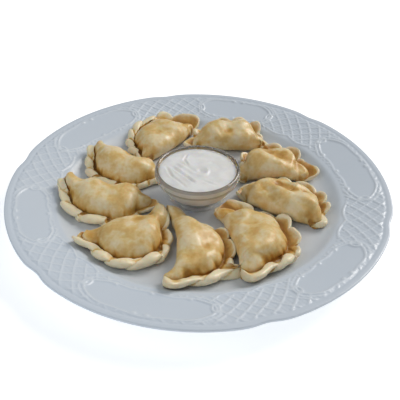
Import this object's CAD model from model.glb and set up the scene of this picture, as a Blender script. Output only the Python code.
"""Looks of a plate of crimped half-moon dumplings round a glass bowl of sour cream.

Lengths are in millimetres until a mesh is made. The origin is the centre of the plate's foot, +Z is up.
"""

import math
from dataclasses import dataclass

import bmesh
import bpy
import numpy as np
from mathutils import Matrix, Quaternion, Vector
from mathutils.bvhtree import BVHTree


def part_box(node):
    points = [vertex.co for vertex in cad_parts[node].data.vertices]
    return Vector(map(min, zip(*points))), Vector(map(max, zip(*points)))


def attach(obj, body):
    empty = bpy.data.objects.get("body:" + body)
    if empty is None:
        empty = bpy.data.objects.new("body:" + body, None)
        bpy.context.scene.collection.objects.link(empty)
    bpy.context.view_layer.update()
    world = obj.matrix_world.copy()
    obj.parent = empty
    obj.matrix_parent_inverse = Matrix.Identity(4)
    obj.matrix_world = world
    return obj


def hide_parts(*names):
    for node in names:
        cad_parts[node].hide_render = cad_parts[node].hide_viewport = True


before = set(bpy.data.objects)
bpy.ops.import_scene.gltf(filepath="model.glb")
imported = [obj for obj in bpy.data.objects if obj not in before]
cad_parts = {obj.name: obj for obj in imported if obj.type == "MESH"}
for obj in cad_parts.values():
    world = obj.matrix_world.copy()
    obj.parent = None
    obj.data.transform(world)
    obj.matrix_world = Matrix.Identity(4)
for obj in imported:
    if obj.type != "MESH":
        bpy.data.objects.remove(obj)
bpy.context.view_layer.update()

MM = 0.001

# The plate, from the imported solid
PLATE_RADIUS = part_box("plate")[1].x / MM
LIP_MIDDLE = 19.4
LIP_THICK = 3.4
SHOULDER_RADIUS = 99.7
SHOULDER_HEIGHT = 14.5
WELL_RADIUS = 85.0
WELL_HEIGHT = 9.0
WELL_CURVE = 2.2
FOOT_INNER = 60.0
FOOT_OUTER = 66.0
FOOT_HOLLOW = 3.4
NOTCH_DEPTH = 1.7
NOTCH_HALF_WIDTH = 7.0
NOTCH_FIRST = 45.2
NOTCH_SHIFT = 2.3
NOTCHES = tuple(NOTCH_FIRST + 60 * number + NOTCH_SHIFT * (-1) ** number for number in range(6))
LIP_INNER = 131.5
LIP_UNDER = 17.4
PLATE_STEPS = 1080

# The relief on the plate's rim
RIM_MIDDLE = 116.8
LATTICE_ACROSS = 10.4
LATTICE_OUT = 10.2
LATTICE_LOW = 104.5
LATTICE_HIGH = 129.6
LATTICE_RIDGE = 0.67
STROKE = 0.62
FRAME_RIDGE = 0.70
FRAME_HALF_HEIGHT = 11.3
FRAME_MARGIN = 6
DOUBLE_LINE = 2.3
BORDER_DIP = 2.6
BORDER_HALF_WIDTH = 11.5
FRAME_CENTRES = (15.0, 75.2, 136.5, 195.8, 255.3, 315.6)
FRAME_HALF_WIDTHS = (19.5, 14.6, 19.0, 14.8, 20.2, 15.0)

# The bowl and what fills it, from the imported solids
bowl_low, bowl_high = (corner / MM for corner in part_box("glass_bowl"))
BOWL_CENTRE = ((bowl_low.x + bowl_high.x) / 2, (bowl_low.y + bowl_high.y) / 2)
BOWL_RADIUS = (bowl_high.x - bowl_low.x) / 2
BOWL_FLOOR = bowl_low.z
BOWL_TOP = bowl_high.z
BOWL_LEDGE_RADIUS = 29.2
BOWL_LEDGE_HEIGHT = 29.6
BOWL_FOOT_RADIUS = 17.0
BOWL_STEPS = 192
CREAM_LEVEL = 33.9
CREAM_RADIUS = 27.0
CREAM_INTO_WALL = 0.25

# A furrow is (where it starts, where it ends, half width, depth), and a negative depth makes a ridge.
FURROWS = (
    ((-17, 2.5), (-2.5, -14.5), 1.0, 0.85),
    ((-22, 3), (-17.5, -8), 0.9, 0.6),
    ((-18.5, -6.5), (-8, -20), 0.9, 0.4),
    ((-14, 8), (-2, -5), 1.3, -0.45),
    ((-8, 18.5), (-9.8, 11), 0.8, 0.6),
    ((-10, 13), (-7, 6), 0.8, 0.6),
    ((4, -13), (13, -18), 0.9, 0.3),
)
# Small round pits between the furrows
PITS = ((13.5, 7), (10.5, 9.5), (15.5, 3))

# The dough
SEAM_THICK = 3.0
RIM_THICK = 2.3
SEAM_HEIGHT = 4.0
FIRST_SLOPE = 4.0
CURL_POWER = 0.8
SCALLOP = 0.42
ROLL_THICK = 8.2
SLANT = 0.36
STRAND_DEPTH = 2.3
STRAND_LEAN = 0.62
PLEAT_DEPTH = 0.6
PLEAT_WIDTH = 0.028
FRONT_OUT_POWER = 2.1
FRONT_UP_POWER = 1.75
BACK_POWER = 2.3
BACK_BELLY = 0.42
TUCK_UNDER = 0.30
CLOSES_FROM = 0.93
CLOSES_OVER = 0.07
LUMPS = ((0.45, 16.0, 7), (0.18, 8.0, 8), (0.04, 3.4, 8))
RINGS = 240
AROUND = (16, 24, 22, 8, 14, 16)
PUSH_ROUNDS = 8
PUSH_SHARE = 0.6
EVENING_ROUNDS = 60
CLEARANCE = 0.08

# The camera, in degrees and millimetres
CAMERA_ABOVE = 36.31
CAMERA_AWAY = 472.5
CAMERA_AIM = (0.73, -15.51)
CAMERA_ROLL = 0.98
CAMERA_LENS = 59.76
CAMERA_SENSOR = 36

# The room, in metres
FLOOR_REACH = 4
ROOM_COLOR = (0.88, 0.94, 1.0, 1)
ROOM_STRENGTH = 0.30


@dataclass
class Dumpling:
    """A pouch folded along one side and crimped along the other, right of the way from tip one to tip two."""

    name: str
    tip_one: tuple
    tip_two: tuple
    depth: float
    petals: tuple
    height: float = 18.0
    height_lean: float = 0.0
    fold: float = 6.0
    fold_lean: float = 0.0
    depth_lean: float = 0.0
    wrap: float = 8.0
    square: float = 2.3
    taper: float = 2.2
    crest: float = 0.45
    horn_one: tuple = (0.0, 0.0, 0.0)
    horn_two: tuple = (0.0, 0.0, 0.0)
    horn_from: float = 0.74
    horn_edge: float = 1.0
    dents: tuple = ()


# A petal is (where it ends along the seam from -1 to 1, reach, angle it starts at, angle it curls up to,
# how far it is rolled into a cord). A horn is (length, turn towards the seam, rise), and horn_edge is how far
# the crimped edge follows it. A dent is (x, y, radius, height, stretch, turn).
DUMPLINGS = (
    Dumpling(
        "pierog_front_left", (-71, -43), (-32.5, -27), 37.5,
        petals=((-0.88, 4, 40, 50), (-0.64, 8.5, 64, 66, 1), (-0.36, 9, 70, 70, 1), (-0.06, 9.5, 68, 68, 1),
                (0.26, 10, 70, 70, 1), (0.50, 9, 60, 70, 0.7), (0.76, 9, 52, 70, 0.2), (1, 4.5, 60, 80)),
        height=17, height_lean=0.3, fold=-2, wrap=10, square=2.6, depth_lean=0.10, crest=0.45,
        horn_one=(4, 0, 40), horn_two=(11, 0, 75), horn_from=0.6,
        dents=((-37, -37, 7, -3.0, 1.6, 55), (-70, -50, 9, -2.0), (-56, -48, 8, 1.0)),
    ),
    Dumpling(
        "pierog_front", (-21, -86), (-20.5, -35), 37.5,
        petals=((-0.66, 9.5, 80, 80, 1), (-0.36, 10, 72, 72, 1), (-0.12, 8.5, 50, 66, 0.3),
                (0.16, 10.5, 45, 62), (0.42, 9, 40, 60), (0.72, 5, 30, 45, 0.2), (1, 4, 20, 30)),
        fold=-7.5, fold_lean=-0.3, wrap=10, square=2.4, depth_lean=-0.08,
        horn_two=(14, -10, 45), horn_from=0.7,
        dents=((5, -66, 8, -3.4, 1.5, 70), (1, -45, 8, -2.0), (-8, -60, 7, 1.4), (-5, -78, 9, -1.6)),
    ),
    Dumpling(
        "pierog_front_right", (26, -77), (15, -29), 37.5,
        petals=((-0.68, 10.5, 78, 78, 1), (-0.42, 10.5, 68, 68, 1), (-0.20, 11, 45, 62, 0.4),
                (0.06, 11, 42, 64), (0.34, 11, 40, 62), (0.66, 7, 40, 55, 0.3), (0.90, 12.5, 42, 46, 0.2),
                (1, 5, 50, 60, 0.4)),
        height=18, height_lean=-0.3, fold=-1, square=2.7, depth_lean=0.02, taper=2.2,
        horn_two=(7, -35, 35), horn_from=0.8,
        dents=((37, -43, 8, -2.6), (32, -58, 8, -2.2), (22, -40, 7, -1.6), (31, -31, 6, 1.6)),
    ),
    Dumpling(
        "pierog_right", (76, -30), (35, -5), 28.0,
        petals=((-0.80, 5, 60, 80, 0.6), (-0.52, 9.5, 45, 60), (-0.26, 10.5, 45, 64), (0.06, 10.5, 45, 64),
                (0.34, 9, 40, 60), (0.62, 6, 30, 40, 0.6), (0.88, 8, 50, 60, 0.3), (1, 6, 60, 80)),
        height=19, height_lean=0.03, fold=7, fold_lean=0.4, square=2.6, crest=0.56,
        dents=((56, -1, 6.5, -4.6), (64, -7, 6, -4.8), (74, -8, 5, -3.0), (47, -10, 6, -4.0, 2.0, -60),
               (55, -13, 7, 2.0), (79, -23, 6, 2.2), (73, -27, 5, -2.0), (42, -3, 6, 1.6, 2.0, -60)),
    ),
    Dumpling(
        "pierog_far_right", (74, 20), (35, 19), 34.0,
        petals=((-0.62, 10, 50, 64), (-0.24, 12, 50, 68), (0.14, 11.5, 50, 68), (0.36, 6, 40, 60, 0.6),
                (0.64, 8.5, 50, 75), (0.84, 5, 40, 60, 0.6), (1, 4, 40, 60)),
        height=19, fold=1, square=2.7, crest=0.6,
        dents=((60, 34, 7.5, -3.8, 1.8, -38), (53, 44, 7, -3.4), (46, 31, 8, 1.6), (57, 22, 7, 1.4)),
    ),
    Dumpling(
        "pierog_back_right", (45, 63), (-1, 63), 29.0,
        petals=((-0.80, 6, 20, 30, 0.5), (-0.66, 7, 30, 50, 0.3), (-0.38, 11, 45, 66), (-0.08, 9, 45, 66),
                (0.22, 8, 40, 60), (0.5, 7, 20, 40, 0.3), (0.72, 9, 45, 66, 0.3), (1, 8, 20, 40)),
        height=21, square=2.1, taper=1.8,
        dents=((23, 81, 7, -3.0), (23, 66, 7, -2.6), (34, 78, 8, 1.4), (9, 70, 8, 1.2)),
    ),
    Dumpling(
        "pierog_back_left", (-8, 84), (-37, 46), 30.0,
        petals=((-0.62, 12, 40, 66), (-0.34, 11, 45, 66), (-0.08, 8, 60, 60, 1), (0.14, 8, 60, 60, 1),
                (0.36, 8, 60, 60, 1), (0.6, 7.5, 60, 60, 1), (0.8, 8, 50, 50, 1), (1, 8, 20, 60, 1)),
        square=2.2,
        dents=((-24, 88, 8, -2.4), (-33, 66, 8, -1.4), (-14, 82, 8, -2.0), (-30, 79, 8, 1.0)),
    ),
    Dumpling(
        "pierog_left", (-74, 45), (-32, 25), 24.0,
        petals=((-0.78, 9, 75, 75, 0.8), (-0.54, 9, 60, 60, 1), (-0.26, 9, 55, 55, 1), (0.10, 7, 55, 55, 0.8),
                (0.44, 4, 30, 40, 0.4), (0.7, 3.5, 30, 40, 0.4), (1, 4, 30, 40, 0.4)),
        fold=8, fold_lean=0.3, horn_one=(10, -60, 55), horn_from=0.5, height_lean=-0.18, horn_edge=0.3,
        dents=((-49, 38, 10, -4.0), (-66, 34, 8, 1.4), (-45, 22, 8, 1.0)),
    ),
    Dumpling(
        "pierog_near_left", (-88.5, 3), (-40, -6), 27.0,
        petals=((-0.80, 9, 80, 80, 0.8), (-0.56, 9, 68, 68, 1), (-0.16, 9, 66, 66, 1),
                (0.14, 6.5, 66, 66, 0.9), (0.44, 3, 30, 40), (0.76, 3, 30, 30), (1, 6, 20, 40)),
        height=17.5, height_lean=-0.08, fold=6, square=2.6, depth_lean=0.2,
        horn_one=(11, -60, 60), horn_from=0.5, horn_edge=0.2,
        dents=((-63, 0, 9, -2.8), (-60, -17, 7, -1.6, 1.4, 90), (-74, -6, 7, 1.2), (-50, -6, 7, 1.2)),
    ),
)


def ease(low, high, x):
    """0 below low, 1 above high, and a smooth step between them."""
    t = np.clip((x - low) / (high - low), 0, 1)
    return t * t * (3 - 2 * t)


def degrees_from(middle, angle):
    """How far an angle is from the middle, from -180 to 180 degrees."""
    return (angle - middle + 180) % 360 - 180


def ridge(distance, half_width):
    """1 on a line and 0 away from it, with a round top."""
    return np.exp(-((distance / half_width) ** 2))


def waves(points, length, count, seed):
    """Gentle unevenness between about -1 and 1, from waves of one length that run every way."""
    random = np.random.default_rng(seed)
    total = np.zeros(points.shape[:-1])
    for _ in range(count):
        way = random.normal(size=3)
        way *= math.tau / length / np.linalg.norm(way) * random.uniform(0.75, 1.3)
        total += np.sin(points @ way + random.uniform(0, math.tau))
    return total / math.sqrt(count)


# ---- meshes

def coordinates(mesh):
    """The mesh's vertices in millimetres, one row each."""
    flat = np.empty(len(mesh.vertices) * 3, np.float32)
    mesh.vertices.foreach_get("co", flat)
    return flat.reshape(-1, 3).astype(float) / MM


def set_coordinates(mesh, points):
    """Moves the mesh's vertices to the given rows of millimetres."""
    mesh.vertices.foreach_set("co", (points * MM).astype(np.float32).ravel())
    mesh.update()


def add_values(mesh, name, values):
    """Stores a number for each vertex, for the material to read."""
    mesh.attributes.new(name, "FLOAT", "POINT").data.foreach_set("value", values.astype(np.float32).ravel())


def new_piece(shape, name, node, look):
    """Object from a finished bmesh, riding on the plate's body in place of its CAD node."""
    mesh = bpy.data.meshes.new(name)
    shape.to_mesh(mesh)
    shape.free()
    mesh.shade_smooth()
    mesh.materials.append(look)
    piece = bpy.data.objects.new(name, mesh)
    bpy.context.scene.collection.objects.link(piece)
    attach(piece, "root")
    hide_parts(node)
    return piece


def turned(profile, steps, centre=(0.0, 0.0)):
    """Body turned from a profile of (radius, height) that runs from the axis on top, out, and back below.

    An eighth is spun, and doubled three times, which is much quicker than one spin of many steps.
    """
    shape = bmesh.new()
    points = [shape.verts.new((radius * MM, 0, height * MM)) for radius, height in profile]
    edges = [shape.edges.new(pair) for pair in zip(points, points[1:])]
    bmesh.ops.spin(
        shape, geom=points + edges, dvec=(0, 0, 0), angle=math.tau / 8, steps=steps // 8,
        cent=(0, 0, 0), axis=(0, 0, 1), use_merge=False, use_duplicate=False,
    )
    for share in (8, 4, 2):
        copy = bmesh.ops.duplicate(shape, geom=shape.verts[:] + shape.edges[:] + shape.faces[:])
        corners = [each for each in copy["geom"] if isinstance(each, bmesh.types.BMVert)]
        turn = Matrix.Rotation(math.tau / share, 3, "Z")
        bmesh.ops.rotate(shape, verts=corners, cent=(0, 0, 0), matrix=turn)
    bmesh.ops.remove_doubles(shape, verts=shape.verts, dist=0.000002)
    bmesh.ops.recalc_face_normals(shape, faces=shape.faces)
    if shape.calc_volume(signed=True) < 0:
        bmesh.ops.reverse_faces(shape, faces=shape.faces)
    bmesh.ops.translate(shape, verts=shape.verts, vec=(centre[0] * MM, centre[1] * MM, 0))
    return shape


def smooth_line(points, steps):
    """Points along a smooth curve through the given ones."""
    given = np.array(points, float)
    before = np.vstack([2 * given[0] - given[1], given[:-1]])
    after = np.vstack([given[1:], 2 * given[-1] - given[-2]])
    beyond = np.vstack([after[1:], 2 * after[-1] - given[-1]])
    line = []
    for start, end, last, following in zip(given[:-1], given[1:], before[:-1], beyond[:-1]):
        for t in np.arange(steps) / steps:
            bend = 2 * start + (end - last) * t + (2 * last - 5 * start + 4 * end - following) * t**2
            line.append(0.5 * (bend + (3 * start - last - 3 * end + following) * t**3))
    return line + [given[-1]]


# ---- plate

def plate_top(radius):
    """Height of the plate's upper face: a flat well, a curved wall and a sloping rim."""
    wall = np.clip((radius - WELL_RADIUS) / (SHOULDER_RADIUS - WELL_RADIUS), 0, 1) ** WELL_CURVE
    rim = np.clip((radius - SHOULDER_RADIUS) / (PLATE_RADIUS - SHOULDER_RADIUS), 0, 1)
    rim_rise = LIP_MIDDLE + LIP_THICK / 2 - SHOULDER_HEIGHT
    return WELL_HEIGHT + (SHOULDER_HEIGHT - WELL_HEIGHT) * wall + rim_rise * rim


def shown_top(radius):
    """The upper face with the shoulder's corner rounded and a groove inside the lip."""
    level = np.mean([plate_top(radius + step) for step in np.linspace(-1.6, 1.6, 9)], axis=0)
    return level - 0.5 * ridge(radius - 0.965 * PLATE_RADIUS, 1.3)


def notch_at(angle):
    """1 at the middle of a notch in the plate's edge, and 0 away from it."""
    share = np.zeros_like(angle)
    for middle in NOTCHES:
        share += ridge(degrees_from(middle, angle), NOTCH_HALF_WIDTH / 2)
    return share


def frame_distance(angle, radius, centre, half_width):
    """Distance outside a scroll frame, a rounded oblong on the rim, and the place on it."""
    across = np.radians(degrees_from(centre, angle)) * RIM_MIDDLE
    out = radius - RIM_MIDDLE
    long = math.radians(half_width) * RIM_MIDDLE
    tall = FRAME_HALF_HEIGHT * (1 + 0.06 * np.cos(across / long * math.tau * 1.5))
    share = (np.abs(across / long) ** 2.8 + np.abs(out / tall) ** 2.2 + 1e-9) ** (1 / 2.5)
    slope = np.hypot(across / long**2, out / tall**2) / np.maximum(np.hypot(across / long, out / tall), 0.05)
    return (share - 1) / np.maximum(slope, 0.02), across / long, across, out, long


def frame_stroke(distance, share, across, out, long):
    """Height of a scroll frame: a line, doubled and curled at the ends, with beads over and under it."""
    ends = ease(0.45, 0.8, np.abs(share))
    line = ridge(distance, STROKE) * (0.75 + 0.45 * ends)
    double = ridge(distance - DOUBLE_LINE, STROKE * 0.9) * ends * 0.8
    curl = np.zeros_like(across)
    for side in (-1, 1):
        ring = np.hypot((across - side * (long - 0.4)) / 2.3, (out + 0.6) / 3.6) - 1
        curl = np.maximum(curl, ridge(ring * 2.6, STROKE * 1.1) * 1.2)
    beads = np.zeros_like(across)
    wide = 0.62 * long
    for place, height in ((-3.6, 10.2), (3.6, 10.2), (-wide, -9.6), (0.0, -10.6), (wide, -9.6)):
        beads = np.maximum(beads, ridge(np.hypot((across - place) / 1.6, out - height), 1.0) * 1.3)
    return np.max([line, double, curl, beads], axis=0)


def lattice_bars(angle, radius):
    """Height of two families of bars that cross each other all round the rim."""
    across = np.radians(angle) * RIM_MIDDLE / LATTICE_ACROSS
    out = (radius - RIM_MIDDLE) / LATTICE_OUT
    bars = np.zeros_like(angle)
    for family, strength in ((across + out, 1.0), (across - out, 0.8)):
        away = np.abs(family - np.round(family)) * LATTICE_OUT / math.sqrt(2)
        bars = np.maximum(bars, ridge(away, STROKE) * strength)
    return bars


def scalloped_border(angle, radius):
    """Height of the scalloped line that closes each lattice panel towards the well."""
    border = np.zeros_like(angle)
    for middle in NOTCHES:
        away = degrees_from(middle, angle)
        low = LATTICE_LOW - BORDER_DIP * np.abs(np.sin(away * math.pi / BORDER_HALF_WIDTH))
        border = np.maximum(border, ridge(radius - low, STROKE) * (np.abs(away) < BORDER_HALF_WIDTH))
    return border


def rim_relief(angle, radius):
    """Height of the rim's ornament, and how much of it is woven lattice."""
    frames = np.zeros_like(angle)
    outside = np.ones_like(angle)
    for centre, half_width in zip(FRAME_CENTRES, FRAME_HALF_WIDTHS):
        distance, *place = frame_distance(angle, radius, centre, half_width)
        near = np.abs(degrees_from(centre, angle)) < half_width + FRAME_MARGIN
        outside *= np.where(near, ease(0.2, 1.6, distance), 1)
        frames = np.maximum(frames, np.where(near, frame_stroke(distance, *place), 0))
    inner_end = ease(LATTICE_LOW - 1.2, LATTICE_LOW, radius)
    outer_end = 1 - ease(LATTICE_HIGH - 0.6, LATTICE_HIGH + 1.2, radius)
    woven = outside * (inner_end * outer_end)
    lattice = lattice_bars(angle, radius)
    border = FRAME_RIDGE * scalloped_border(angle, radius) * outside
    height = np.max([LATTICE_RIDGE * lattice * woven, FRAME_RIDGE * frames, border], axis=0)
    return height, woven * (1 - 0.8 * lattice)


def plate_profile():
    """Half section of the plate, with rings close together where the rim's relief is."""
    top_radii = [0, 12, 24, 36, 48, 60, 70, 78, 83, 86, 89, 91.5, 93.5, 95.2, 96.8, 98.0]
    top_radii += list(np.linspace(99.0, LIP_INNER - 0.1, 47))
    top = [(radius, float(shown_top(radius))) for radius in top_radii]
    corner = top[-1][1]
    lip = [(132.6, corner + 0.25), (133.7, corner + 0.1), (134.5, LIP_MIDDLE + 1.1)]
    lip += [(134.95, LIP_MIDDLE + 0.4), (134.95, LIP_MIDDLE - 0.4)]
    lip += [(134.5, LIP_MIDDLE - 1.1), (133.5, LIP_MIDDLE - 1.55)]
    turn = (LIP_INNER, LIP_UNDER)
    under = smooth_line([turn, (118, 13.9), (102, 10.6), (95, 7.0), (87, 4.9), (69, 4.2)], 2)[1:]
    foot = [(67, 3.6), (FOOT_OUTER, 2.2), (FOOT_OUTER - 0.2, 0.6), (FOOT_OUTER - 1.0, 0.05)]
    foot += [(FOOT_INNER + 1.0, 0.05), (FOOT_INNER + 0.2, 0.6), (FOOT_INNER - 0.6, 2.4)]
    foot += [(FOOT_INNER - 2.5, FOOT_HOLLOW), (30, FOOT_HOLLOW), (0, FOOT_HOLLOW)]
    return top + lip + [turn] + [tuple(point) for point in under] + foot


def add_plate(look):
    """The plate, its rim raised in relief and drawn in at the notches."""
    plate = new_piece(turned(plate_profile(), PLATE_STEPS), "plate_glazed", "plate", look)
    points = coordinates(plate.data)
    radius = np.hypot(points[:, 0], points[:, 1])
    angle = np.degrees(np.arctan2(points[:, 1], points[:, 0])) % 360
    upper = points[:, 2] > plate_top(radius) - 1.2
    relief, woven = rim_relief(angle, radius)
    relief *= upper
    points[:, 2] += relief
    pull = 1 - NOTCH_DEPTH * notch_at(angle) * ease(112, PLATE_RADIUS, radius) / np.maximum(radius, 1)
    points[:, 0] *= pull
    points[:, 1] *= pull
    set_coordinates(plate.data, points)
    add_values(plate.data, "relief", relief)
    add_values(plate.data, "woven", woven * upper)


# ---- bowl and cream

def bowl_outside(height):
    """Radius of the bowl's outer face: a curved body, a ledge and an upright collar under the rim."""
    rise = np.clip((height - BOWL_FLOOR) / (BOWL_LEDGE_HEIGHT - BOWL_FLOOR), 0, 1)
    body = BOWL_FOOT_RADIUS + (BOWL_LEDGE_RADIUS - BOWL_FOOT_RADIUS) * (1 - (1 - rise) ** 1.6) ** 0.75
    return np.where(height > BOWL_LEDGE_HEIGHT, BOWL_RADIUS, body)


def bowl_inside():
    """The bowl's inner face, from its middle up to the rim."""
    bottom = [(0, 12.3), (5, 12.4), (10, 12.8), (17, 15.2)]
    wall = [(22.4, 19.5), (25.4, 25.5), (26.6, 30.0), (CREAM_RADIUS, 32.6)]
    return [tuple(point) for point in smooth_line(bottom + wall, 4)]


def bowl_profile():
    """Half section of the bowl's wall: inner face, rim, upright collar, stacking ledge, body and foot."""
    rim = smooth_line([(27.05, 33.3), (27.4, 34.6), (28.3, BOWL_TOP - 0.1), (28.9, BOWL_TOP - 0.1),
                       (29.7, 34.6), (BOWL_RADIUS, 33.4)], 4)
    collar = [(BOWL_RADIUS, 31.0), (BOWL_RADIUS - 0.05, 30.4), (29.7, 30.05), (29.0, 29.8), (28.5, 29.4)]
    levels = (28.4, 28.0, 26.0, 23.5, 21, 18.5, 16, 14, 12.4, 11.2, 10.3)
    body = [(float(bowl_outside(level)), level) for level in levels]
    foot = [(17.6, 9.75), (17.0, BOWL_FLOOR), (15.8, BOWL_FLOOR), (15.0, 9.7), (13.5, 10.1), (0, 10.2)]
    return bowl_inside() + [tuple(point) for point in rim] + collar + body + foot


def add_bowl(look):
    """The glass bowl, in the middle of the ring of dumplings."""
    shape = turned(bowl_profile(), BOWL_STEPS, BOWL_CENTRE)
    new_piece(shape, "bowl_clear_glass", "glass_bowl", look)


def furrow_height(x, y, start, end, width, depth):
    """Height of a furrow that a spoon left, with a raised bank on either side."""
    line = np.array(end, float) - start
    reach = np.linalg.norm(line)
    along = ((x - start[0]) * line[0] + (y - start[1]) * line[1]) / reach
    aside = ((x - start[0]) * line[1] - (y - start[1]) * line[0]) / reach
    ends = ease(-2.5, 2.5, along) * (1 - ease(reach - 2.5, reach + 2.5, along))
    left_bank = 0.7 * ridge(aside + width * 1.7, width)
    right_bank = 0.5 * ridge(aside - width * 1.8, width)
    return depth * (-ridge(aside, width) + left_bank + right_bank) * ends


def cream_height(x, y):
    """Height of the cream: spooned furrows, a small peak with a curl, and a fall toward the glass."""
    level = CREAM_LEVEL - 0.7 * (np.hypot(x, y) / CREAM_RADIUS) ** 2.5
    for furrow in FURROWS:
        level += furrow_height(x, y, *furrow)
    ring = np.hypot(x - 3, (y + 2) / 1.3)
    level += 0.9 * ridge(ring - 4.2, 1.4) * ease(-0.6, 0.9, np.cos(np.arctan2(y + 2, x - 3) + 0.5))
    level -= 0.9 * ridge(np.hypot(x - 2.2, y + 1), 2.2)
    for pit_x, pit_y in PITS:
        level -= 0.3 * ridge(np.hypot(x - pit_x, y - pit_y), 1.3)
    return level


def add_cream(look):
    """Sour cream up to the rim, its side just inside the wall of the glass."""
    surface = [(radius, CREAM_LEVEL) for radius in np.linspace(0, CREAM_RADIUS, 64)]
    side = []
    for radius, height in reversed(bowl_inside()):
        if radius > 0 and height < CREAM_LEVEL - 1.6:
            side.append((radius + CREAM_INTO_WALL, height - 0.15))
    shape = turned(surface + side + [(0, 12.15)], BOWL_STEPS, BOWL_CENTRE)
    cream = new_piece(shape, "cream_filling", "sour_cream", look)
    points = coordinates(cream.data)
    x, y = points[:, 0] - BOWL_CENTRE[0], points[:, 1] - BOWL_CENTRE[1]
    on_top = points[:, 2] > CREAM_LEVEL - 0.01
    fine = 0.05 * waves(points, 5.0, 6, 3)
    points[:, 2] = np.where(on_top, cream_height(x, y) + fine, points[:, 2])
    set_coordinates(cream.data, points)


# ---- dumplings

def petal_values(petals, along):
    """Reach, end angle and roll of the crimped edge at each place along the seam."""
    reach = np.zeros_like(along)
    angle = np.zeros_like(along)
    roll = np.zeros_like(along)
    start = -1.0
    for end, long, low, high, *rolled in petals:
        rolled = rolled[0] if rolled else 0.0
        here = (along >= start) & (along <= end)
        part = (along[here] - start) / (end - start)
        scallop = np.abs(np.sin(math.pi * (0.02 + 0.94 * part))) ** 0.7
        curl = ease(0.05, 0.86, part) * (1 - ease(0.88, 1.0, part))
        shallow = SCALLOP + (1 - SCALLOP) * rolled
        reach[here] = long * (shallow + (1 - shallow) * scallop)
        angle[here] = low + (high - low) * curl
        roll[here] = rolled
        start = end
    reach, angle, roll = (evened(values, rounds) for values, rounds in ((reach, 1), (angle, 1), (roll, 12)))
    return reach * (1 - 0.35 * ease(0.90, 1.0, np.abs(along))), np.radians(angle), roll


def evened(values, rounds):
    """A row of values with each drawn towards its neighbours."""
    for _ in range(rounds):
        padded = np.pad(values, 1, mode="edge")
        values = (padded[:-2] + 2 * padded[1:-1] + padded[2:]) / 4
    return values


def petal_curve(reach, end_angle, at):
    """Distance out, rise and slope along a petal that curls up from the seam."""
    steps = np.linspace(0, 1, 41)
    first = math.radians(FIRST_SLOPE)
    slope = first + (end_angle[:, None] - first) * steps**CURL_POWER
    middle = (slope[:, 1:] + slope[:, :-1]) / 2
    start = np.zeros((len(reach), 1))
    out = np.hstack([start, np.cumsum(np.cos(middle), axis=1)]) * reach[:, None] / 40
    rise = np.hstack([start, np.cumsum(np.sin(middle), axis=1)]) * reach[:, None] / 40
    rows = np.arange(len(reach))[:, None]
    low = np.clip((at * 40).astype(int), 0, 39)
    share = at * 40 - low
    return [line[rows, low] * (1 - share) + line[rows, low + 1] * share for line in (out, rise, slope)]


def half_thickness(at, roll):
    """Half the dough's thickness along a petal; the free edge is round, and a rolled one is a thick cord."""
    flat = SEAM_THICK / 2 + (RIM_THICK - SEAM_THICK) / 2 * at
    leaf = flat * np.sqrt(np.clip(1 - np.clip((at - 0.8) / 0.2, 0, 1) ** 2, 0, 1))
    swell = SEAM_THICK / 2 + (ROLL_THICK - SEAM_THICK) / 2 * ease(0, 0.45, at)
    cord = swell * np.sqrt(np.clip(1 - np.clip((at - 0.45) / 0.55, 0, 1) ** 2, 0, 1))
    return leaf + np.outer(roll, cord - leaf)


def section(width, height, seam, reach, end_angle, roll, crest, around):
    """Distance from the fold and height of points round the pouch, from a petal's free edge over the top."""
    petal_over, front, back, under_back, under, petal_under = around
    seam_middle = seam - SEAM_THICK / 2
    column = np.newaxis

    at = 1 - (np.arange(petal_over) / petal_over) ** 1.3
    out, rise, slope = petal_curve(reach, end_angle, at)
    thick = half_thickness(at, roll)
    across = [width[:, column] + out - np.sin(slope) * thick]
    up = [seam_middle[:, column] + rise + np.cos(slope) * thick]

    top = crest * width
    turn = np.arange(front) / front * math.pi / 2
    across.append(top[:, column] + np.outer(width - top, np.cos(turn) ** (2 / FRONT_OUT_POWER)))
    up.append(seam[:, column] + np.outer(height - seam, np.sin(turn) ** (2 / FRONT_UP_POWER)))

    turn = np.arange(back) / back * math.pi / 2
    belly = BACK_BELLY * height
    across.append(np.outer(top, 1 - np.sin(turn) ** (2 / BACK_POWER)))
    up.append(belly[:, column] + np.outer(height - belly, np.cos(turn) ** (2 / BACK_POWER)))

    turn = np.arange(under_back) / under_back * math.pi / 2
    across.append(np.outer(TUCK_UNDER * width, 1 - np.cos(turn)))
    up.append(np.outer(belly, 1 - np.sin(turn)))

    flat = np.arange(under) / under
    across.append(np.outer(TUCK_UNDER * width, np.ones(under)) + np.outer((1 - TUCK_UNDER) * width, flat))
    up.append(np.outer(np.maximum(0, seam_middle - SEAM_THICK / 2), flat**3))

    at = (np.arange(petal_under) / petal_under) ** 0.8
    out, rise, slope = petal_curve(reach, end_angle, at)
    thick = half_thickness(at, roll)
    across.append(width[:, column] + out + np.sin(slope) * thick)
    up.append(seam_middle[:, column] + rise - np.cos(slope) * thick)
    return np.hstack(across), np.hstack(up)


def pleats(dumpling, along, around):
    """Depth of the folds that run from between the petals up over the belly and down the petals' backs."""
    petal_over, front = around[:2]
    over = np.arange(sum(around)) - petal_over
    fade = np.where(over < 0, 1 + over / petal_over, 1 - over / (0.55 * front))
    fade = np.clip(fade, 0, 1) ** 1.2
    lines = np.zeros_like(along)
    for end, *_ in dumpling.petals[:-1]:
        fold = ridge(along - end, PLEAT_WIDTH)
        bank = ridge(along - end - 2.2 * PLEAT_WIDTH, 1.6 * PLEAT_WIDTH)
        lines += fold - 0.5 * bank
    return PLEAT_DEPTH * np.outer(lines, fade)


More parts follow.
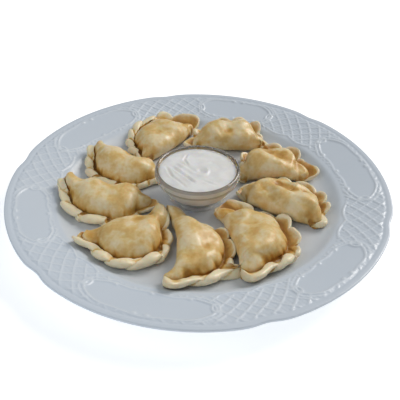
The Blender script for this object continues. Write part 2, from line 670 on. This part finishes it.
def strands(dumpling, along, around, roll):
    """How far the rolled edge is pressed in between one slanting strand and the next."""
    petal_over, petal_under = around[0], around[-1]
    column = np.arange(sum(around))
    over = 0.5 - 0.5 * column / petal_over
    under = 0.5 + 0.5 * (sum(around) - column) / petal_under
    beyond = np.where(column < sum(around) / 2, over, under)
    fade = ease(-0.12, 0.03, beyond) * (1 - ease(0.9, 1.05, beyond))
    place = along[:, np.newaxis] + SLANT * (np.clip(beyond, -0.2, 1) - 0.5)
    pressed = np.zeros_like(place)
    start = -1.2
    for end, *_ in dumpling.petals:
        part = (place - start) / (end - start)
        within = (part >= 0) & (part < 1)
        lens = np.sin(math.pi * np.clip(part, 0, 1) ** STRAND_LEAN) ** 0.6
        pressed = np.where(within, 1 - lens, pressed)
        start = end
    return STRAND_DEPTH * pressed * fade * roll[:, np.newaxis]


def unit(vectors):
    """The vectors at a length of 1."""
    return vectors / (np.linalg.norm(vectors, axis=-1, keepdims=True) + 1e-9)


def grid_cross(points):
    """Directions square to a closed grid of points, all out or all in."""
    round_section = np.roll(points, -1, axis=1) - np.roll(points, 1, axis=1)
    return unit(np.cross(np.gradient(points, axis=0), round_section))


def outward_share(points, directions):
    """Above 0 when directions at a closed grid's points look out of the body, below 0 when they look in."""
    return ((points - points.mean(axis=1, keepdims=True)) * directions).sum()


def grid_normals(points):
    """Outward directions of a closed grid of points."""
    directions = grid_cross(points)
    return directions * np.sign(outward_share(points, directions))


def grid_turns_inward(points):
    """True where a sphere's faces, laid over the grid, would look into the body."""
    return outward_share(points, grid_cross(points)) > 0


def evened_grid(values):
    """The values of a closed grid, each drawn towards its four neighbours."""
    rings_before = np.vstack([values[:1], values[:-1]])
    rings_after = np.vstack([values[1:], values[-1:]])
    beside = 2 * values + np.roll(values, 1, axis=1) + np.roll(values, -1, axis=1)
    return (beside + rings_before + rings_after) / 6


def add_dents(points, dumpling):
    """Presses the dents into the pouch and raises its lumps."""
    for x, y, radius, height, *rest in dumpling.dents:
        stretch, turn = rest if rest else (1.0, 0.0)
        offset = points[..., :2] - (x, y)
        cosine, sine = math.cos(math.radians(turn)), math.sin(math.radians(turn))
        length = (offset[..., 0] * cosine + offset[..., 1] * sine) / (radius * stretch)
        breadth = (offset[..., 1] * cosine - offset[..., 0] * sine) / radius
        upper = ease(0.2 * dumpling.height, 0.5 * dumpling.height, points[..., 2])
        push = height * np.exp(-(length**2 + breadth**2)) * upper
        points = points + grid_normals(points) * push[..., np.newaxis]
    return points


def dumpling_points(dumpling, along, around, seed):
    """Grid of points on the dumpling's surface: rings from tip one to tip two, each round the pouch."""
    one, two = np.array(dumpling.tip_one, float), np.array(dumpling.tip_two, float)
    span = np.linalg.norm(two - one)
    lengthwise = (two - one) / span
    seamwise = np.array([lengthwise[1], -lengthwise[0]])
    from_middle = np.abs(along)

    wrap = math.radians(dumpling.wrap)
    turn = along * (math.pi / 2 + wrap)
    power = 2 / dumpling.square
    seam_x = np.sign(np.sin(turn)) * np.abs(np.sin(turn)) ** power * span / 2 / math.cos(wrap) ** power
    seam_y = np.sign(np.cos(turn)) * np.abs(np.cos(turn)) ** power + math.sin(wrap) ** power
    seam_y *= dumpling.depth / (1 + math.sin(wrap) ** power) * (1 + dumpling.depth_lean * along)
    seam_path = np.stack([seam_x, seam_y], axis=1)
    fold_y = -dumpling.fold * np.cos(along * math.pi / 2) * (1 + dumpling.fold_lean * along)
    fold_path = np.stack([span / 2 * np.sin(along * math.pi / 2), fold_y], axis=1)

    tangent = unit(np.gradient(seam_path, along, axis=0))
    outward = np.stack([-tangent[:, 1], tangent[:, 0]], axis=1)
    width = np.linalg.norm(seam_path - fold_path, axis=1)
    near_tip = ease(0.75, 1.0, from_middle)[:, np.newaxis]
    across_way = unit(unit(seam_path - fold_path) * (1 - near_tip) + outward * near_tip)

    crown = dumpling.height * (1 + dumpling.height_lean * along) - SEAM_THICK
    height = SEAM_THICK + crown * np.clip(1 - from_middle**dumpling.taper, 0, 1) ** 0.62
    seam = np.minimum(SEAM_HEIGHT, 0.55 * height)
    reach, end_angle, roll = petal_values(dumpling.petals, along)
    across, up = section(width, height, seam, reach, end_angle, roll, dumpling.crest, around)
    inside = np.minimum(across, width[:, np.newaxis])[..., np.newaxis]
    beyond = np.maximum(across - width[:, np.newaxis], 0)[..., np.newaxis]
    flat = fold_path[:, np.newaxis] + inside * across_way[:, np.newaxis] + beyond * outward[:, np.newaxis]
    points = np.concatenate([flat, up[..., np.newaxis]], axis=2)

    lumps = np.zeros(points.shape[:-1])
    for order, (size, length, count) in enumerate(LUMPS):
        lumps += size * waves(points, length, count, seed + 20 * order)
    lumps = lumps * ease(0, 4, points[..., 2]) - pleats(dumpling, along, around)
    lumps = lumps - strands(dumpling, along, around, roll)
    points = points + grid_normals(points) * lumps[..., np.newaxis]

    closed = np.clip((from_middle - CLOSES_FROM) / CLOSES_OVER, 0, 1)
    closing = np.sqrt(1 - closed**2)[:, np.newaxis, np.newaxis]
    upper = points[:, : around[0] + 1].mean(axis=1)
    lower = points[:, -around[-1] :].mean(axis=1)
    centre = ((upper + lower) / 2)[:, np.newaxis]
    points = centre + (points - centre) * closing

    on_pouch = ease(0, around[0], np.minimum(np.arange(sum(around)), sum(around) - np.arange(sum(around))))
    for (length, swing, rise), side in ((dumpling.horn_one, -1), (dumpling.horn_two, 1)):
        swing, rise = math.radians(swing), math.radians(rise)
        growth = np.clip((along * side - dumpling.horn_from) / (1 - dumpling.horn_from), 0, 1) ** 1.6
        level = math.cos(rise)
        way = np.array([side * math.cos(swing) * level, math.sin(swing) * level, math.sin(rise)])
        pull = growth[:, np.newaxis] * (dumpling.horn_edge + (1 - dumpling.horn_edge) * on_pouch)
        points = points + length * pull[..., np.newaxis] * way

    middle = (one + two) / 2
    plan = middle + points[..., :1] * lengthwise + points[..., 1:2] * seamwise
    points = add_dents(np.concatenate([plan, points[..., 2:]], axis=2), dumpling)
    plan = points[..., :2]
    radius = np.linalg.norm(plan, axis=2)
    # Dough over the shoulder rides up on it, less so at the top of the pouch than underneath.
    lifted = (plate_top(radius) - WELL_HEIGHT) * np.clip(1 - points[..., 2] / 30, 0.2, 1)
    level = points[..., 2] + WELL_HEIGHT + 0.1 + 0.85 * lifted
    return np.concatenate([plan, np.maximum(level, plate_rest(radius))[..., np.newaxis]], axis=2)


def plate_rest(radius):
    """What a dumpling rests on: the plate's upper face, with the shoulder's corner filled out."""
    near = [plate_top(radius + reach) - abs(reach) * 0.5 for reach in (-4.0, -2.0, 0.0, 2.0, 4.0)]
    return np.max(near, axis=0) + CLEARANCE


def hollows(points):
    """How far each point of a grid lies below the surface's general run; below 0 where it stands proud."""
    general = points
    for _ in range(EVENING_ROUNDS):
        general = evened_grid(general)
    return ((general - points) * grid_normals(points)).sum(axis=2)


def grid_places(mesh, rings, around):
    """Ring and column of each vertex of a sphere with that many rings and segments."""
    points = coordinates(mesh) * MM
    ring = np.round(np.arccos(np.clip(-points[:, 2], -1, 1)) / math.pi * rings).astype(int)
    column = np.round(np.arctan2(points[:, 1], points[:, 0]) / math.tau * around).astype(int) % around
    return ring, column


def coarse(grid):
    """Every second ring and column of a grid, for finding contacts."""
    return grid[::2, ::2]


def surface_of(grid):
    """Search tree of the surface over a grid, with its lowest and highest corners."""
    rings, around = grid.shape[:2]
    number = np.arange(rings * around).reshape(rings, around)
    beside = np.roll(number, -1, axis=1)
    quads = np.stack([number[:-1], number[1:], beside[1:], beside[:-1]], axis=2).reshape(-1, 4)
    if not grid_turns_inward(grid):
        quads = quads[:, ::-1]
    points = grid.reshape(-1, 3)
    return BVHTree.FromPolygons(points.tolist(), quads.tolist()), points.min(axis=0), points.max(axis=0)


def contact_push(grid, surface, low, high, gap):
    """How far each point of a grid must move to lie outside a neighbour by the gap."""
    push = np.zeros_like(grid)
    close = np.all((grid > low - gap) & (grid < high + gap), axis=2)
    for ring, column in np.argwhere(close):
        place = Vector(grid[ring, column])
        nearest, normal, _, distance = surface.find_nearest(place, 9)
        if nearest is None:
            continue
        inside = (place - nearest).dot(normal) < 0
        if inside or distance < gap:
            push[ring, column] = np.array(normal) * (gap + (distance if inside else -distance))
    return push


def spread(push, rounds):
    """Evens a push out over the surface, so that dough gives way softly and not point by point."""
    share = (np.linalg.norm(push, axis=2, keepdims=True) > 0).astype(float)
    for _ in range(rounds):
        push, share = evened_grid(push), evened_grid(share)
    return push / np.maximum(share, 0.25)


def refined(push, shape):
    """A push found on every second ring and column, brought back to the whole grid."""
    rings = np.empty((shape[0],) + push.shape[1:])
    rings[::2] = push
    rings[1::2] = (push[:-1] + push[1:]) / 2
    whole = np.empty(shape)
    whole[:, ::2] = rings
    whole[:, 1::2] = (rings + np.roll(rings, -1, axis=1)) / 2
    return whole


def clear_of_tableware(grid, gap):
    """The grid's points moved out of the bowl and up off the plate."""
    offset = grid[..., :2] - BOWL_CENTRE
    distance = np.linalg.norm(offset, axis=2)
    clear = bowl_outside(grid[..., 2]) + gap
    within = (distance < clear) & (grid[..., 2] < BOWL_TOP + gap)
    outside = BOWL_CENTRE + offset * (clear / distance)[..., np.newaxis]
    moved = np.where(within[..., np.newaxis], outside, grid[..., :2])
    level = np.maximum(grid[..., 2], plate_rest(np.linalg.norm(moved, axis=2)))
    return np.concatenate([moved, level[..., np.newaxis]], axis=2)


def settle(grids):
    """Lets neighbouring dumplings press each other's soft edges aside until none cuts into another."""
    for _ in range(PUSH_ROUNDS):
        surfaces = [surface_of(coarse(grid)) for grid in grids]
        for number, grid in enumerate(grids):
            for neighbour in (number - 1, (number + 1) % len(grids)):
                push = spread(contact_push(coarse(grid), *surfaces[neighbour], CLEARANCE), 6)
                grid += PUSH_SHARE * refined(push, grid.shape)
            grid[:] = clear_of_tableware(grid, CLEARANCE)


def add_dumplings(look):
    """The nine dumplings, each a sphere whose rings and columns are laid over its settled grid."""
    around = sum(AROUND)
    along = np.linspace(-1, 1, RINGS + 1)
    grids = [dumpling_points(each, along, AROUND, 100 + number) for number, each in enumerate(DUMPLINGS)]
    depths = [hollows(grid) for grid in grids]
    crimp = np.maximum(1 - np.arange(around) / AROUND[0], 1 - (around - np.arange(around)) / AROUND[-1])
    settle(grids)
    ball = bmesh.new()
    bmesh.ops.create_uvsphere(ball, u_segments=around, v_segments=RINGS, radius=1)
    for dumpling, grid, depth in zip(DUMPLINGS, grids, depths):
        shape = ball.copy()
        if grid_turns_inward(grid):
            bmesh.ops.reverse_faces(shape, faces=shape.faces)
        name = dumpling.name.replace("pierog", "dumpling")
        piece = new_piece(shape, name, dumpling.name, look)
        ring, column = grid_places(piece.data, RINGS, around)
        set_coordinates(piece.data, grid[ring, column])
        add_values(piece.data, "hollow", depth[ring, column])
        add_values(piece.data, "crimp", np.clip(crimp, 0, 1)[column])


# ---- materials

class Value:
    """A number or colour that varies over a surface; arithmetic on it adds Math nodes."""

    def __init__(self, look, socket):
        self.look = look
        self.socket = socket

    def math(self, operation, first, second):
        return self.look.add("ShaderNodeMath", {"operation": operation}, first, second)

    def __add__(self, other):
        return self.math("ADD", self, other)

    def __sub__(self, other):
        return self.math("SUBTRACT", self, other)

    def __mul__(self, other):
        return self.math("MULTIPLY", self, other)

    def __radd__(self, other):
        return self.math("ADD", other, self)

    def __rsub__(self, other):
        return self.math("SUBTRACT", other, self)

    def __rmul__(self, other):
        return self.math("MULTIPLY", other, self)


class Look:
    """A material made of nodes."""

    def __init__(self, name):
        self.material = bpy.data.materials.new(name)
        self.material.use_nodes = True
        self.tree = self.material.node_tree
        self.shader = self.tree.nodes["Principled BSDF"]

    def add(self, kind, settings=None, *sockets, output=0, **named):
        """A node of a kind: its settings first, then its sockets in order or by name."""
        node = self.tree.nodes.new(kind)
        for setting, value in (settings or {}).items():
            if setting == "stops":
                ramp = node.color_ramp.elements
                while len(ramp) < len(value):
                    ramp.new(0.5)
                for element, (position, color) in zip(ramp, value):
                    element.position = position
                    element.color = (*color, 1)
            else:
                setattr(node, setting, value)
        for socket, value in list(enumerate(sockets)) + list(named.items()):
            self.feed(node.inputs[socket], value)
        return Value(self, node.outputs[output])

    def feed(self, socket, value):
        """Links a value to a socket, or sets the socket to a constant."""
        if isinstance(value, Value):
            self.tree.links.new(value.socket, socket)
        else:
            socket.default_value = value

    def place(self):
        """Place on the object, in its own coordinates."""
        return self.add("ShaderNodeTexCoord", output="Object")

    def stored(self, name):
        """A number stored at the vertices."""
        return self.add("ShaderNodeAttribute", {"attribute_name": name}, output="Fac")

    def along(self, axis):
        """Place along one axis of the object, in metres."""
        return self.add("ShaderNodeSeparateXYZ", None, self.place(), output=axis)

    def height_step(self, start, end):
        """Smooth step from 0 at one height to 1 at another, in millimetres, whichever is the higher."""
        return self.between(self.along("Z"), start * MM, end * MM)

    def noise(self, size, detail=3.0, roughness=0.5):
        """Noise from 0 to 1 with spots of about that many millimetres."""
        return self.add("ShaderNodeTexNoise", None, Vector=self.place(), Scale=1 / (size * MM), Detail=detail,
                        Roughness=roughness)

    def between(self, value, low, high, start=0.0, end=1.0):
        """Smooth step from start to end while the value goes from low to high."""
        smooth = {"interpolation_type": "SMOOTHSTEP"}
        return self.add("ShaderNodeMapRange", smooth, value, low, high, start, end)

    def ramp(self, value, *stops):
        """Colour from stops of (place, colour)."""
        return self.add("ShaderNodeValToRGB", {"stops": stops}, value)

    def mix(self, share, first, second):
        """Colour from first to second."""
        node = self.tree.nodes.new("ShaderNodeMix")
        node.data_type = "RGBA"
        for socket, value in (("Factor_Float", share), ("A_Color", first), ("B_Color", second)):
            target = next(each for each in node.inputs if each.identifier == socket)
            self.feed(target, (*value, 1) if isinstance(value, tuple) and len(value) == 3 else value)
        return Value(self, next(each for each in node.outputs if each.identifier == "Result_Color"))

    def bump(self, height, depth, strength=1.0, under=None):
        """Normal of a surface with that much relief, in millimetres."""
        sockets = {"Height": height, "Distance": depth * MM, "Strength": strength}
        if under is not None:
            sockets["Normal"] = under
        return self.add("ShaderNodeBump", None, **sockets)

    def finish(self, **sockets):
        """The material, with its shader's sockets set or linked by name."""
        for name, value in sockets.items():
            target = self.shader.inputs[name.replace("_", " ")]
            self.feed(target, (*value, 1) if isinstance(value, tuple) and target.type == "RGBA" else value)
        return self.material


def white_glaze():
    """White porcelain, bluer on the rim: pale crests, a fine weave in the lattice, bare clay under the foot."""
    look = Look("white_glaze")
    level_place = look.add("ShaderNodeCombineXYZ", None, look.along("X"), look.along("Y"), 0.0)
    outward = look.add("ShaderNodeVectorMath", {"operation": "LENGTH"}, level_place, output="Value")
    well_white, rim_white = (0.61, 0.62, 0.63), (0.58, 0.635, 0.70)
    cloud_white, crest_white, clay = (0.66, 0.68, 0.71), (0.72, 0.76, 0.80), (0.55, 0.52, 0.47)
    tint = look.mix(look.between(outward, 80 * MM, 104 * MM), well_white, rim_white)
    tint = look.mix(look.noise(45, 2) * 0.35, tint, cloud_white)
    tint = look.mix(look.between(look.stored("relief"), 0.1, 0.6, 0.0, 0.6), tint, crest_white)
    bare = look.height_step(1.2, 0.3)
    tint = look.mix(bare, tint, clay)
    threads = look.add("ShaderNodeTexWave", {"wave_type": "BANDS", "bands_direction": "DIAGONAL"},
                       Vector=look.place(), Scale=180.0, Distortion=1.5, Detail=1.0)
    weave = look.bump(threads * look.stored("woven"), 0.10, 0.6)
    normal = look.bump(look.noise(9, 2), 0.12, 0.5, under=weave)
    rough = look.between(look.noise(14, 3), 0.3, 0.7, 0.28, 0.36) + bare * 0.5
    return look.finish(Base_Color=tint, Roughness=rough, Normal=normal, Specular_IOR_Level=0.5,
                       Coat_Weight=0.08, Coat_Roughness=0.14)


def clear_glass():
    """Clear glass, hardly seen on the thin wall; it looks dark and full where it is thick."""
    look = Look("clear_glass")
    smears = look.between(look.noise(18, 3), 0.35, 0.75, 0.0, 0.05)
    rim = look.height_step(33.0, 33.8)
    ledge = look.height_step(27.8, 28.8) * look.height_step(30.8, 30.2)
    foot = look.height_step(13.0, 10.8)
    thick = 0.10 + (rim + ledge) * 0.78 + foot * 0.25
    greenish, clear, dusky = (0.93, 0.97, 0.97), (0.98, 0.99, 0.99), (0.21, 0.17, 0.135)
    tint = look.mix(look.noise(30, 1), greenish, clear)
    tint = look.mix(rim * 0.95 + ledge * 0.9, tint, dusky)
    return look.finish(Base_Color=tint, Roughness=smears, Transmission_Weight=1.0, IOR=1.5, Alpha=thick)


def white_cream():
    """Thick sour cream, ivory to milk white, satin with wetter patches; light soaks well into it."""
    look = Look("white_cream")
    ivory, milk_white = (0.78, 0.765, 0.74), (0.86, 0.85, 0.83)
    tint = look.mix(look.between(look.noise(8, 3), 0.35, 0.7), ivory, milk_white)
    rough = look.between(look.noise(5, 3), 0.3, 0.7, 0.28, 0.42)
    normal = look.bump(look.noise(2.2, 3), 0.10, 0.5)
    return look.finish(Base_Color=tint, Roughness=rough, Normal=normal, Subsurface_Weight=0.7,
                       Subsurface_Scale=0.008, Subsurface_Radius=(1.0, 0.8, 0.55))


def boiled_dough():
    """Moist boiled dough: pale on the crimps and where it stands proud, ochre in hollows and low down."""
    look = Look("boiled_dough")
    hollow = look.between(look.stored("hollow"), -0.5, 1.0)
    low = look.height_step(24, 11) * look.between(look.stored("hollow"), -0.7, 0.0)
    blotches = look.between(look.noise(12, 3, 0.55), 0.37, 0.66)
    grain = look.noise(2.5, 3)
    crimp = look.between(look.stored("crimp"), 0.0, 0.55)
    depth = 0.19 + hollow * 0.60 + low * 0.38 + blotches * 0.30 + (grain - 0.5) * 0.35 - crimp * 0.36
    pale, straw = (0.82, 0.71, 0.48), (0.71, 0.50, 0.20)
    ochre, brown = (0.575, 0.32, 0.07), (0.40, 0.185, 0.03)
    tint = look.ramp(depth, (0.06, pale), (0.38, straw), (0.66, ochre), (1.0, brown))
    rough = look.between(look.noise(6, 3), 0.3, 0.7, 0.30, 0.46)
    normal = look.bump(look.noise(0.7, 2), 0.03, 0.5, under=look.bump(grain, 0.10, 0.5))
    return look.finish(Base_Color=tint, Roughness=rough, Normal=normal, Subsurface_Weight=0.18,
                       Subsurface_Scale=0.004)


def pale_floor():
    """Plain white surface, bright enough to set off the plate's edge."""
    look = Look("pale_floor")
    tint = look.mix(look.noise(300, 2), (0.93, 0.93, 0.93), (0.96, 0.96, 0.96))
    return look.finish(Base_Color=tint, Roughness=0.7, Emission_Color=(1.0, 1.0, 1.0), Emission_Strength=0.45)


# ---- stage

def add_floor(look):
    """Flat floor that the plate stands on."""
    shape = bmesh.new()
    bmesh.ops.create_grid(shape, x_segments=1, y_segments=1, size=FLOOR_REACH)
    mesh = bpy.data.meshes.new("floor")
    shape.to_mesh(mesh)
    shape.free()
    mesh.materials.append(look)
    floor = bpy.data.objects.new("floor", mesh)
    bpy.context.scene.collection.objects.link(floor)


def add_light(name, place, size, power, color):
    """Square soft light that points at the plate."""
    light = bpy.data.lights.new(name, "AREA")
    light.size = size
    light.energy = power
    light.color = color
    lamp = bpy.data.objects.new(name, light)
    lamp.location = place
    lamp.rotation_euler = (-Vector(place)).to_track_quat("-Z", "Y").to_euler()
    bpy.context.scene.collection.objects.link(lamp)


def add_camera():
    """Camera at the front, which looks down at the middle of the plate."""
    height = math.radians(CAMERA_ABOVE)
    away = CAMERA_AWAY * MM
    level = LIP_MIDDLE * MM
    place = Vector((0, -away * math.cos(height), level + away * math.sin(height)))
    aim = Vector((CAMERA_AIM[0] * MM, CAMERA_AIM[1] * MM, level))
    camera = bpy.data.cameras.new("camera")
    camera.sensor_width = CAMERA_SENSOR
    camera.lens = CAMERA_LENS
    holder = bpy.data.objects.new("camera", camera)
    holder.location = place
    holder.rotation_mode = "QUATERNION"
    upright = (aim - place).to_track_quat("-Z", "Y")
    holder.rotation_quaternion = upright @ Quaternion((0, 0, 1), math.radians(CAMERA_ROLL))
    bpy.context.scene.collection.objects.link(holder)
    bpy.context.scene.camera = holder


def add_room():
    """Even, faintly blue light from all round."""
    world = bpy.data.worlds.new("room")
    world.use_nodes = True
    background = world.node_tree.nodes["Background"]
    background.inputs["Color"].default_value = ROOM_COLOR
    background.inputs["Strength"].default_value = ROOM_STRENGTH
    bpy.context.scene.world = world
    bpy.context.scene.view_settings.view_transform = "Standard"


add_plate(white_glaze())
add_bowl(clear_glass())
add_cream(white_cream())
add_dumplings(boiled_dough())
add_floor(pale_floor())
add_light("window", place=(1.45, 1.10, 1.38), size=1.3, power=38.0, color=(1.0, 0.97, 0.93))
add_light("fill", place=(-0.40, -0.35, 0.45), size=0.6, power=1.4, color=(0.9, 0.95, 1.0))
add_camera()
add_room()
